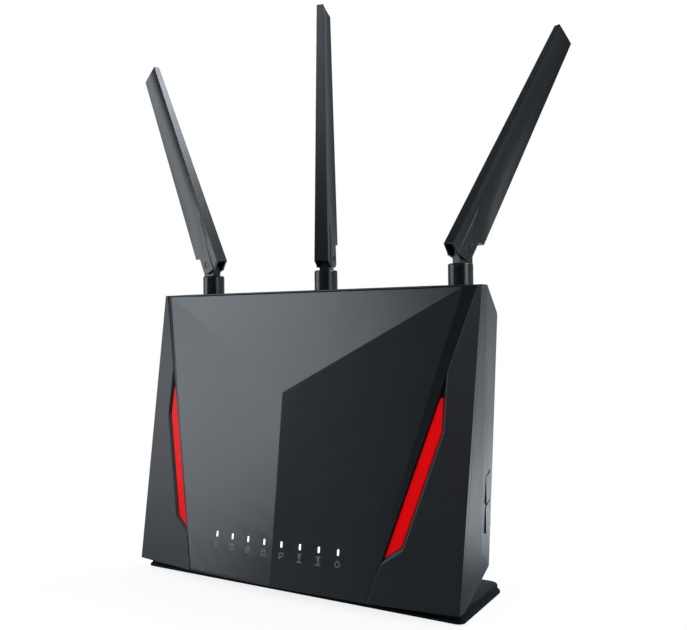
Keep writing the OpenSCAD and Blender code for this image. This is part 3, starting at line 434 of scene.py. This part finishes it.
PANEL_GREY = (0.0066, 0.0082, 0.0098)
CASE_BLACK = (0.0044, 0.0052, 0.0060)
LINER_BLACK = (0.004, 0.004, 0.0045)
STAND_BLACK = (0.0050, 0.0054, 0.0060)
BUTTON_BLACK = (0.011, 0.0115, 0.0125)
SOCKET_BLACK = (0.012, 0.012, 0.013)
RUBBER_BLACK = (0.014, 0.014, 0.0145)
JACKET_BLACK = (0.016, 0.0165, 0.018)
UPLINK_BLUE = (0.012, 0.075, 0.42)
NETWORK_YELLOW = (0.78, 0.40, 0.015)
TONGUE_BLUE = (0.010, 0.10, 0.52)
RESET_RED = (0.45, 0.012, 0.010)
ZINC = (0.56, 0.56, 0.55)
TIN = (0.62, 0.61, 0.58)
ALUMINIUM = (0.70, 0.71, 0.72)
GOLD = (0.80, 0.56, 0.22)
PRINT_GREY = (0.20, 0.21, 0.22)

finishes = {
    "panel_plastic": moulded("panel grey", PANEL_GREY, 0.25, grain=0.35 * MM, depth=0.008 * MM,
                             wear=0.15, dust=0.01, spread=0.02),
    "shell_plastic": moulded("shell black", CASE_BLACK, 0.40, radius=0.6 * MM, dust=0.04),
    "liner_plastic": moulded("liner black", LINER_BLACK, 0.22, depth=0.003 * MM, wear=0.2, dust=0.03),
    "accent_plastic": accent_red(),
    "guide_plastic": lit_guide(),
    "board": board_mask(),
    "steel": metal("zinc-plated steel", ZINC, 0.32),
    "chip_plastic": moulded("socket black", SOCKET_BLACK, 0.5, radius=0.3 * MM),
    "tin": metal("tinned sheet", TIN, 0.30, line=0.2 * MM),
    "fins": metal("plain aluminium", ALUMINIUM, 0.38, line=0.25 * MM),
    "wan_plastic": moulded("socket blue", UPLINK_BLUE, 0.42, radius=0.3 * MM, dust=0.05),
    "lan_plastic": moulded("socket yellow", NETWORK_YELLOW, 0.42, radius=0.3 * MM, dust=0.05),
    "gold_plate": metal("gold plate", GOLD, 0.25, line=0.2 * MM),
    "usb_plastic": moulded("tongue blue", TONGUE_BLUE, 0.42, radius=0.2 * MM, dust=0.03),
    "button_plastic": moulded("button black", BUTTON_BLACK, 0.34, grain=0.4 * MM, depth=0.01 * MM,
                              radius=0.5 * MM, wear=0.6),
    "reset_plastic": moulded("reset red", RESET_RED, 0.4, radius=0.3 * MM),
    "stand_plastic": moulded("stand black", STAND_BLACK, 0.5, radius=0.6 * MM, dust=0.02, specular=0.08),
    "foot_rubber": moulded("foot rubber", RUBBER_BLACK, 0.75, grain=0.4 * MM, depth=0.04 * MM,
                           radius=0.5 * MM, wear=0.1, dust=0.1),
    "lead_jacket": moulded("lead jacket", JACKET_BLACK, 0.45, radius=0.1 * MM),
    "aerial_plastic": moulded("aerial black", CASE_BLACK, 0.27, grain=0.4 * MM, depth=0.01 * MM,
                              radius=0.5 * MM, wear=0.5, dust=0.02),
}
sign_print = moulded("sign print", PRINT_GREY, 0.5, depth=0.004 * MM, radius=0.04 * MM, wear=0.0,
                     dust=0.02, specular=0.3)

for node, piece in nodes.items():
    piece.data.materials.clear()
    piece.data.materials.append(finishes[node_slots[node]])


# ---- Softened mouldings ----
BLADE_ROUNDING = 0.4 * MM
SLEEVE_ROUNDING = 0.25 * MM
STAND_ROUNDING = 0.3 * MM
ROUNDING_STEPS = 3
FLAT_ANGLE = math.radians(0.5)
CREASE_ANGLE = math.radians(25)
SHARP_ANGLE = math.radians(35)
# Corners nearer than these become one: in the frame's mesh, at a cut, and after the rounding.
SPLIT_GAP = 0.002 * MM
CUT_GAP = 0.001 * MM
SLIVER_GAP = 0.0002 * MM

# Hollow of the blades: from its start it takes the run to come to its full depth, and only faces
# that lie at least the skin from the blade's middle plane are drawn in. The depth is the curve
# times the distance from one long edge times the distance from the other.
LARGE_FACES = 6
LONG_EDGE = 0.5
BROAD_FACING = 0.99
HOLLOW_STRIPS = 8
HOLLOW_STATIONS = 7
HOLLOW_START = 16 * MM
HOLLOW_RUN = 14 * MM
HOLLOW_SKIN = 1.4 * MM
HOLLOW_CURVE = 17.0


def merged(bm):
    """Joins the frame's split corners, and its triangles where they lie in one plane."""
    bmesh.ops.remove_doubles(bm, verts=bm.verts, dist=SPLIT_GAP)
    bmesh.ops.dissolve_limit(bm, angle_limit=FLAT_ANGLE, verts=bm.verts, edges=bm.edges)


def long_edges(bm):
    """The edges that run along most of a blade."""
    longest = max(edge.calc_length() for edge in bm.edges)
    return [edge for edge in bm.edges if edge.calc_length() > longest * LONG_EDGE]


def blade_axes(bm):
    """Directions along a blade towards its tip, across its broad faces, and through them."""
    large = sorted(bm.faces, key=lambda face: -face.calc_area())[:LARGE_FACES]
    front = large[0].normal
    back = min(large, key=lambda face: face.normal.dot(front)).normal
    thick = (front - back).normalized()
    edge = long_edges(bm)[0]
    along = (edge.verts[1].co - edge.verts[0].co).normalized()
    along = (along - thick * along.dot(thick)).normalized()
    along = along if along.z > 0 else -along
    return along, along.cross(thick), thick


def edge_line(edge, along, across):
    """How far across the blade a long edge lies, as (at zero length, rise per length)."""
    a, b = [(corner.co.dot(along), corner.co.dot(across)) for corner in edge.verts]
    rise = (b[1] - a[1]) / (b[0] - a[0])
    return a[1] - rise * a[0], rise


def hollow_cuts(axes, low, high, heel, tip):
    """Planes, as (point, normal), that cut the broad faces into strips and stations."""
    along, across, thick = axes
    cuts = []
    for k in range(1, HOLLOW_STRIPS):
        place, rise = [a + (b - a) * k / HOLLOW_STRIPS for a, b in zip(low, high)]
        cuts.append((across * place, (along + across * rise).cross(thick)))
    start = heel + HOLLOW_START
    for k in range(HOLLOW_STATIONS):
        cuts.append((along * (start + (tip - start) * k / HOLLOW_STATIONS), along))
    cuts.append((along * (start + HOLLOW_RUN / 2), along))
    return cuts


def run_in(length):
    """0 up to the hollow's start, 1 from where it has its full depth, and smooth between."""
    share = min(1, max(0, (length - HOLLOW_START) / HOLLOW_RUN))
    return share * share * (3 - 2 * share)


def hollow_ground(bm):
    """Draws a blade's two broad faces in to a shallow hollow between their long edges."""
    bm.normal_update()
    axes = blade_axes(bm)
    along, across, thick = axes
    edges = long_edges(bm)
    middle = sum(corner.co.dot(thick) for edge in edges for corner in edge.verts) / (2 * len(edges))
    lines = sorted(edge_line(edge, along, across) for edge in edges
                   if edge.verts[0].co.dot(thick) > middle)
    low, high = lines[0], lines[-1]
    heel = min(corner.co.dot(along) for corner in bm.verts)
    tip = max(corner.co.dot(along) for corner in bm.verts)
    for point, way in hollow_cuts(axes, low, high, heel, tip):
        faces = [face for face in bm.faces if abs(face.normal.dot(thick)) > BROAD_FACING
                 and abs(face.calc_center_median().dot(thick) - middle) > HOLLOW_SKIN]
        rims = dict.fromkeys(edge for face in faces for edge in face.edges)
        corners = dict.fromkeys(corner for face in faces for corner in face.verts)
        bmesh.ops.bisect_plane(bm, geom=[*faces, *rims, *corners], dist=CUT_GAP,
                               plane_co=point, plane_no=way)
    for corner in bm.verts:
        length, width, depth = [corner.co.dot(way) for way in axes]
        from_low = width - low[0] - low[1] * length
        from_high = high[0] + high[1] * length - width
        inside = from_low * from_high
        if inside > 0 and abs(depth - middle) > HOLLOW_SKIN:
            sunk = inside * HOLLOW_CURVE * run_in(length - heel)
            corner.co -= thick * math.copysign(sunk, depth - middle)


def softened(node, radius, shape=None):
    """Copy of a CAD node with its creases rounded to radius, which stands for that node."""
    mesh = nodes[node].data.copy()
    bm = bmesh.new()
    bm.from_mesh(mesh)
    merged(bm)
    if shape is not None:
        shape(bm)
    bm.to_mesh(mesh)
    bm.free()
    mesh.set_sharp_from_angle(angle=SHARP_ANGLE)
    piece = bpy.data.objects.new("soft_" + node, mesh)
    bpy.context.scene.collection.objects.link(piece)
    rounding = piece.modifiers.new("rounding", "BEVEL")
    rounding.width = radius
    rounding.segments = ROUNDING_STEPS
    rounding.limit_method = "ANGLE"
    rounding.angle_limit = CREASE_ANGLE
    rounding.use_clamp_overlap = True
    rounding.harden_normals = True
    joining = piece.modifiers.new("joining", "WELD")
    joining.merge_threshold = SLIVER_GAP
    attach(piece, node_bodies[node])
    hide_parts(node)


for side in AERIALS:
    softened(side + "_blade", BLADE_ROUNDING, shape=hollow_ground)
    softened(side + "_sleeve", SLEEVE_ROUNDING)
softened("base_stand", STAND_ROUNDING)


# ---- Signs under the status lights ----
# From the light guide's ends to the outer lights, and from the lights down to the signs.
LIGHT_INSET = 6.03 * MM
SIGN_DROP = 5.5 * MM
SIGN_STROKE = 0.32 * MM
SIGN_PROUD = 0.03 * MM
SIGN_SUNK = 0.05 * MM
# Ends nearer than this, in millimetres, are one point. A corner is at most as wide as the stroke over
# the mitre.
SIGN_SAME = 1e-6
SIGN_MITRE = 0.4
ARC_STEPS = 20
IN_FRONT = -200 * MM


def ring(radius, first=0, last=360, at=(0, 0)):
    """Points of an arc, in degrees from the right and turning upwards."""
    angles = [math.radians(first + (last - first) * k / ARC_STEPS) for k in range(ARC_STEPS + 1)]
    return [(at[0] + radius * math.cos(a), at[1] + radius * math.sin(a)) for a in angles]


# Strokes of each sign, in millimetres right of and above its middle.
LAMP_SIGN = [
    ring(1.0, at=(0, 0.6)),
    [(-0.5, -0.3), (-0.9, -1.6)],
    [(0.5, -0.3), (0.9, -1.6)],
]
SHEET_SIGN = [
    [(-1.3, -1.4), (1.3, -1.4), (1.3, 1.4), (-1.3, 1.4), (-1.3, -1.4)],
    [(-0.7, 0.5), (0.7, 0.5)],
    [(-0.7, -0.4), (0.7, -0.4)],
]
CROSSED_RING_SIGN = [
    ring(1.5),
    [(-1.2, -1.7), (1.2, 1.7)],
    [(-0.4, 0.7), (0.6, 0.7)],
]
CARD_SIGN = [
    [(-1.3, -1.4), (1.3, -1.4), (1.3, 0.7), (0.6, 1.4), (-1.3, 1.4), (-1.3, -1.4)],
    [(-0.7, 0.6), (0.5, 0.6)],
]
FLAG_SIGN = [
    [(-1.3, -1.5), (-0.9, 1.1), (1.5, 1.4), (1.1, -0.4), (-0.3, -0.6), (-0.4, -1.5), (-1.3, -1.5)],
]
AERIAL_SIGN = [
    [(-1.0, 2.0), (1.0, 2.0), (0.0, 1.0), (-1.0, 2.0)],
    [(-0.9, 0.1), (0.0, 1.0), (0.9, 0.1)],
    [(0.0, 1.0), (0.0, -1.2)],
    [(-1.7, -2.1), (-0.5, -2.1), (0.0, -1.2), (0.5, -2.1), (1.7, -2.1)],
]
DASHED_AERIAL_SIGN = AERIAL_SIGN + [[(1.1, -0.9), (1.7, -0.9)]]
POWER_SIGN = [
    ring(1.4, first=120, last=420, at=(0, -0.2)),
    [(0, 0.3), (0, 1.9)],
]
SIGNS = [LAMP_SIGN, SHEET_SIGN, CROSSED_RING_SIGN, CARD_SIGN, FLAG_SIGN, AERIAL_SIGN,
         DASHED_AERIAL_SIGN, POWER_SIGN]


def comes_round(points):
    """Whether a stroke ends where it began."""
    return (Vector(points[0]) - Vector(points[-1])).length < SIGN_SAME


def side_steps(points):
    """The points' offsets to the left of the stroke, with its corners kept at full width."""
    closed = comes_round(points)
    count = len(points)
    ways = [(Vector(b) - Vector(a)).normalized() for a, b in zip(points, points[1:])]
    steps = []
    for k in range(count):
        before = ways[k - 1] if k > 0 else (ways[-1] if closed else ways[0])
        after = ways[k] if k < count - 1 else (ways[0] if closed else ways[-1])
        both = (before + after).normalized()
        steps.append(Vector((-both.y, both.x)) / max(SIGN_MITRE, both.dot(after)))
    return steps


def sign_strokes(bm, skin, centre, points):
    """Thin prism along the points, in millimetres round centre, laid on the panel's skin."""
    rows = []
    for point, step in zip(points, side_steps(points)):
        row = []
        for side in (0.5, -0.5):
            x = centre[0] + point[0] * MM + step.x * side * SIGN_STROKE
            z = centre[1] + point[1] * MM + step.y * side * SIGN_STROKE
            hit, normal, _, _ = skin.ray_cast(Vector((x, IN_FRONT, z)), Vector((0, 1, 0)))
            row += [bm.verts.new(hit + normal * SIGN_PROUD), bm.verts.new(hit - normal * SIGN_SUNK)]
        rows.append(row)
    closed = comes_round(points)
    if closed:
        for corner in rows.pop():
            bm.verts.remove(corner)
    for a, b in zip(rows, rows[1:] + rows[:1] if closed else rows[1:]):
        for i, k in ((0, 2), (2, 3), (3, 1), (1, 0)):
            bm.faces.new((a[i], b[i], b[k], a[k]))
    if not closed:
        bm.faces.new([rows[0][i] for i in (0, 2, 3, 1)])
        bm.faces.new([rows[-1][i] for i in (1, 3, 2, 0)])


def panel_skin():
    """Ray-castable surface of the front panel where it stands."""
    panel = nodes["front_panel"]
    corners = [panel.matrix_world @ corner.co for corner in panel.data.vertices]
    return BVHTree.FromPolygons(corners, [list(face.vertices) for face in panel.data.polygons])


def printed_signs():
    """One pictogram under each status light, printed pale grey on the front panel."""
    skin = panel_skin()
    low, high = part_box("light_guide")
    height = (low.z + high.z) / 2 - SIGN_DROP
    first, last = low.x + LIGHT_INSET, high.x - LIGHT_INSET
    for number, sign in enumerate(SIGNS):
        x = first + (last - first) * number / (len(SIGNS) - 1)
        name = "sign_%d" % (number + 1)
        bm = bmesh.new()
        for points in sign:
            sign_strokes(bm, skin, (x, height), points)
        bmesh.ops.recalc_face_normals(bm, faces=bm.faces)
        mesh = bpy.data.meshes.new(name)
        bm.to_mesh(mesh)
        bm.free()
        mesh.materials.append(sign_print)
        piece = bpy.data.objects.new(name, mesh)
        bpy.context.scene.collection.objects.link(piece)
        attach(piece, "router")


printed_signs()


# ---- Camera ----
# Lens and sensor in millimetres.
CAMERA_PLACE = Vector((0.3785, -0.4362, 0.1421))
CAMERA_AZIMUTH = math.radians(38.40)
CAMERA_RISE = math.radians(0.44)
CAMERA_ROLL = math.radians(-0.715)
CAMERA_LENS = 56.40
CAMERA_SENSOR = 36
CAMERA_NEAREST = 10 * MM


def stand_camera():
    """The camera at its place, looking along its azimuth, from +Y towards -X, and a little upwards."""
    ahead = Vector((-math.sin(CAMERA_AZIMUTH) * math.cos(CAMERA_RISE),
                    math.cos(CAMERA_AZIMUTH) * math.cos(CAMERA_RISE), math.sin(CAMERA_RISE)))
    right = ahead.cross(Vector((0, 0, 1))).normalized()
    above = right.cross(ahead)
    turned_right = right * math.cos(CAMERA_ROLL) + above * math.sin(CAMERA_ROLL)
    turned_above = above * math.cos(CAMERA_ROLL) - right * math.sin(CAMERA_ROLL)
    camera = bpy.data.objects.new("camera", bpy.data.cameras.new("camera"))
    camera.data.lens = CAMERA_LENS
    camera.data.sensor_width = CAMERA_SENSOR
    camera.data.clip_start = CAMERA_NEAREST
    axes = Matrix((turned_right, turned_above, -ahead)).transposed()
    camera.matrix_world = Matrix.Translation(CAMERA_PLACE) @ axes.to_4x4()
    bpy.context.scene.collection.objects.link(camera)
    bpy.context.scene.camera = camera


stand_camera()


# ---- Studio ----
STUDIO_RADIUS = 1.3
STUDIO_MIDDLE = Vector((0, 0, 0.09))
DAYLIGHT = (0.87, 0.94, 1.0)
WHITE = (1, 1, 1, 1)

# The room's light on matt surfaces, and what a gloss shows of it ahead of the case and behind.
ROOM_TINT = (0.80, 0.90, 1.0, 1)
ROOM_LIGHT = 0.38
ROOM_AHEAD = 0.055
ROOM_BEHIND = 0.45
ROOM_BEHIND_FROM = -0.1
ROOM_BEHIND_FULL = 0.6

# The floor: its shade is full near the case and ends further out. The other colours are painted
# reflections, what a gloss shows of it in place of its own shading: painted shade ahead, painted light
# far left, near, behind, and a painted pool of light just behind the case.
FLOOR_REACH = 6.0
FLOOR_COLOUR = (0.88, 0.88, 0.89, 1)
FLOOR_ROUGHNESS = 0.7
FLOOR_SPECULAR = 0.1
FLOOR_SHADE = 0.32
FLOOR_SHADE_FULL = 0.1
FLOOR_SHADE_END = 0.4
FLOOR_LIFT = 0.50
# Painted reflections, seen on the floor only in a gloss: shade ahead, light far left, near and behind.
FLOOR_AHEAD = (0.10, 0.12, 0.14, 1)
FLOOR_LEFT = (1.10, 1.22, 1.35, 1)
FLOOR_LEFT_FROM = Vector((-0.45, -0.55))
FLOOR_LEFT_FULL = Vector((-0.8, -0.3))
FLOOR_NEAR = (0.26, 0.31, 0.36, 1)
FLOOR_BEHIND = (0.88, 0.96, 1.03, 1)
FLOOR_BEHIND_FROM = 0.08
FLOOR_BEHIND_FULL = 0.22
# Painted pool of light, brighter than white, seen on the floor only in a gloss.
FLOOR_PAINTED_POOL = (2.05, 2.25, 2.42, 1)
FLOOR_PAINTED_POOL_FULL = 0.3
FLOOR_PAINTED_POOL_END = 0.9


def softbox(name, azimuth, elevation, width, height, radiance, shape="RECTANGLE", seen=True):
    """Area light on a sphere round the case, aimed at its middle; azimuth 0 is in front, 90 right."""
    turn = math.radians(azimuth)
    rise = math.radians(elevation)
    way = Vector((math.sin(turn) * math.cos(rise), -math.cos(turn) * math.cos(rise), math.sin(rise)))
    area = width * height * (math.pi / 4 if shape == "ELLIPSE" else 1)
    lamp = bpy.data.objects.new(name, bpy.data.lights.new(name, "AREA"))
    lamp.data.shape = shape
    lamp.data.size = width
    lamp.data.size_y = height
    lamp.data.energy = radiance * math.pi * area
    lamp.data.color = DAYLIGHT
    lamp.visible_camera = seen
    lamp.location = STUDIO_MIDDLE + way * STUDIO_RADIUS
    lamp.rotation_euler = way.to_track_quat("Z", "Y").to_euler()
    bpy.context.scene.collection.objects.link(lamp)


def straight_share(tree, path):
    """1 for rays that see the background straight or through glass, and 0 for the rest."""
    return maths(tree, "MAXIMUM", path.outputs["Is Camera Ray"], path.outputs["Is Transmission Ray"])


def room():
    """White room where it is seen. It lights at a plain level, and a gloss shows it paler behind."""
    world = bpy.data.worlds.new("room")
    bpy.context.scene.world = world
    world.use_nodes = True
    tree = world.node_tree
    way = axes_of(tree, tree.nodes.new("ShaderNodeTexCoord").outputs["Generated"])
    behind = spread_of(tree, way["Y"], ROOM_BEHIND_FROM, ROOM_BEHIND_FULL)
    path = tree.nodes.new("ShaderNodeLightPath")
    straight = straight_share(tree, path)
    in_gloss = blend_of(tree, behind, ROOM_AHEAD, ROOM_BEHIND, "FLOAT")
    unseen = blend_of(tree, path.outputs["Is Glossy Ray"], ROOM_LIGHT, in_gloss, "FLOAT")
    ground = tree.nodes["Background"]
    feed(tree, ground.inputs["Strength"], blend_of(tree, straight, unseen, 1.0, "FLOAT"))
    feed(tree, ground.inputs["Color"], blend_of(tree, straight, ROOM_TINT, WHITE))


def floor_in_gloss(tree, spot, far_out):
    """Painted reflection of the floor in a gloss: painted shade ahead, painted light behind and far to the
    left, with a bright painted pool of light just behind the case.
    """
    left = times(tree, spread_of(tree, spot["X"], FLOOR_LEFT_FROM.x, FLOOR_LEFT_FULL.x),
                 spread_of(tree, spot["Y"], FLOOR_LEFT_FROM.y, FLOOR_LEFT_FULL.y))
    # Share of the painted pool of light, full near the case and gone further out.
    pool = rest_of(tree, spread_of(tree, far_out, FLOOR_PAINTED_POOL_FULL, FLOOR_PAINTED_POOL_END))
    ahead = blend_of(tree, pool, blend_of(tree, left, FLOOR_AHEAD, FLOOR_LEFT), FLOOR_NEAR)
    behind = blend_of(tree, pool, FLOOR_BEHIND, FLOOR_PAINTED_POOL)
    back_share = spread_of(tree, spot["Y"], FLOOR_BEHIND_FROM, FLOOR_BEHIND_FULL)
    return blend_of(tree, back_share, ahead, behind)


def floor_finish():
    """Pale matt floor that keeps the shadow near the object and is white further out; in a gloss it shows
    painted reflections instead of its own shading.
    """
    material, tree, shader = new_material("studio floor")
    base = place_group(tree, DRIFT, Colour=FLOOR_COLOUR, Drift=0.01, Patch=0.3)["Colour"]
    feed(tree, shader.inputs["Base Color"], base)
    shader.inputs["Roughness"].default_value = FLOOR_ROUGHNESS
    shader.inputs["Specular IOR Level"].default_value = FLOOR_SPECULAR
    place = place_of(tree)
    distance = tree.nodes.new("ShaderNodeVectorMath")
    distance.operation = "LENGTH"
    tree.links.new(place, distance.inputs[0])
    far_out = distance.outputs["Value"]
    near = rest_of(tree, spread_of(tree, far_out, FLOOR_SHADE_FULL, FLOOR_SHADE_END))
    clear = rest_of(tree, times(tree, near, FLOOR_SHADE))
    path = tree.nodes.new("ShaderNodeLightPath")
    in_gloss = path.outputs["Is Glossy Ray"]
    straight = straight_share(tree, path)
    white = tree.nodes.new("ShaderNodeEmission")
    # For glossy rays the floor shows only painted reflections: painted shade ahead, painted light behind
    # and far left.
    painted_reflection = floor_in_gloss(tree, axes_of(tree, place), far_out)
    feed(tree, white.inputs["Color"], blend_of(tree, in_gloss, WHITE, painted_reflection))
    unshaded = maths(tree, "MAXIMUM", times(tree, straight, clear), in_gloss)
    mixed = tree.nodes.new("ShaderNodeMixShader")
    feed(tree, mixed.inputs["Fac"], unshaded)
    tree.links.new(shader.outputs[0], mixed.inputs[1])
    tree.links.new(white.outputs[0], mixed.inputs[2])
    lift = tree.nodes.new("ShaderNodeEmission")
    shaded = minus(tree, straight, unshaded, clamp=True)
    feed(tree, lift.inputs["Strength"], times(tree, shaded, FLOOR_LIFT))
    both = tree.nodes.new("ShaderNodeAddShader")
    tree.links.new(mixed.outputs[0], both.inputs[0])
    tree.links.new(lift.outputs[0], both.inputs[1])
    tree.links.new(both.outputs[0], tree.nodes["Material Output"].inputs["Surface"])
    return material


def floor():
    """The plate that the router stands on."""
    bm = bmesh.new()
    bmesh.ops.create_grid(bm, x_segments=1, y_segments=1, size=FLOOR_REACH)
    mesh = bpy.data.meshes.new("floor")
    bm.to_mesh(mesh)
    bm.free()
    mesh.materials.append(floor_finish())
    plate = bpy.data.objects.new("floor", mesh)
    bpy.context.scene.collection.objects.link(plate)


bpy.context.scene.view_settings.view_transform = "Standard"
softbox("round key", azimuth=-50.5, elevation=17, width=0.72, height=1.0, radiance=3.3, shape="ELLIPSE")
softbox("key hood", azimuth=-54, elevation=29, width=0.3, height=0.3, radiance=1.0)
softbox("low left softbox", azimuth=-70, elevation=4, width=0.30, height=0.22, radiance=2.6)
softbox("back strip", azimuth=157, elevation=58, width=0.6, height=0.30, radiance=10.0)
softbox("front softbox", azimuth=4, elevation=31, width=0.5, height=0.5, radiance=2.5)
softbox("right softbox", azimuth=89, elevation=9, width=0.6, height=0.45, radiance=4.4)
softbox("low back strip", azimuth=-142, elevation=5, width=0.6, height=0.12, radiance=1.2, seen=False)
room()
floor()
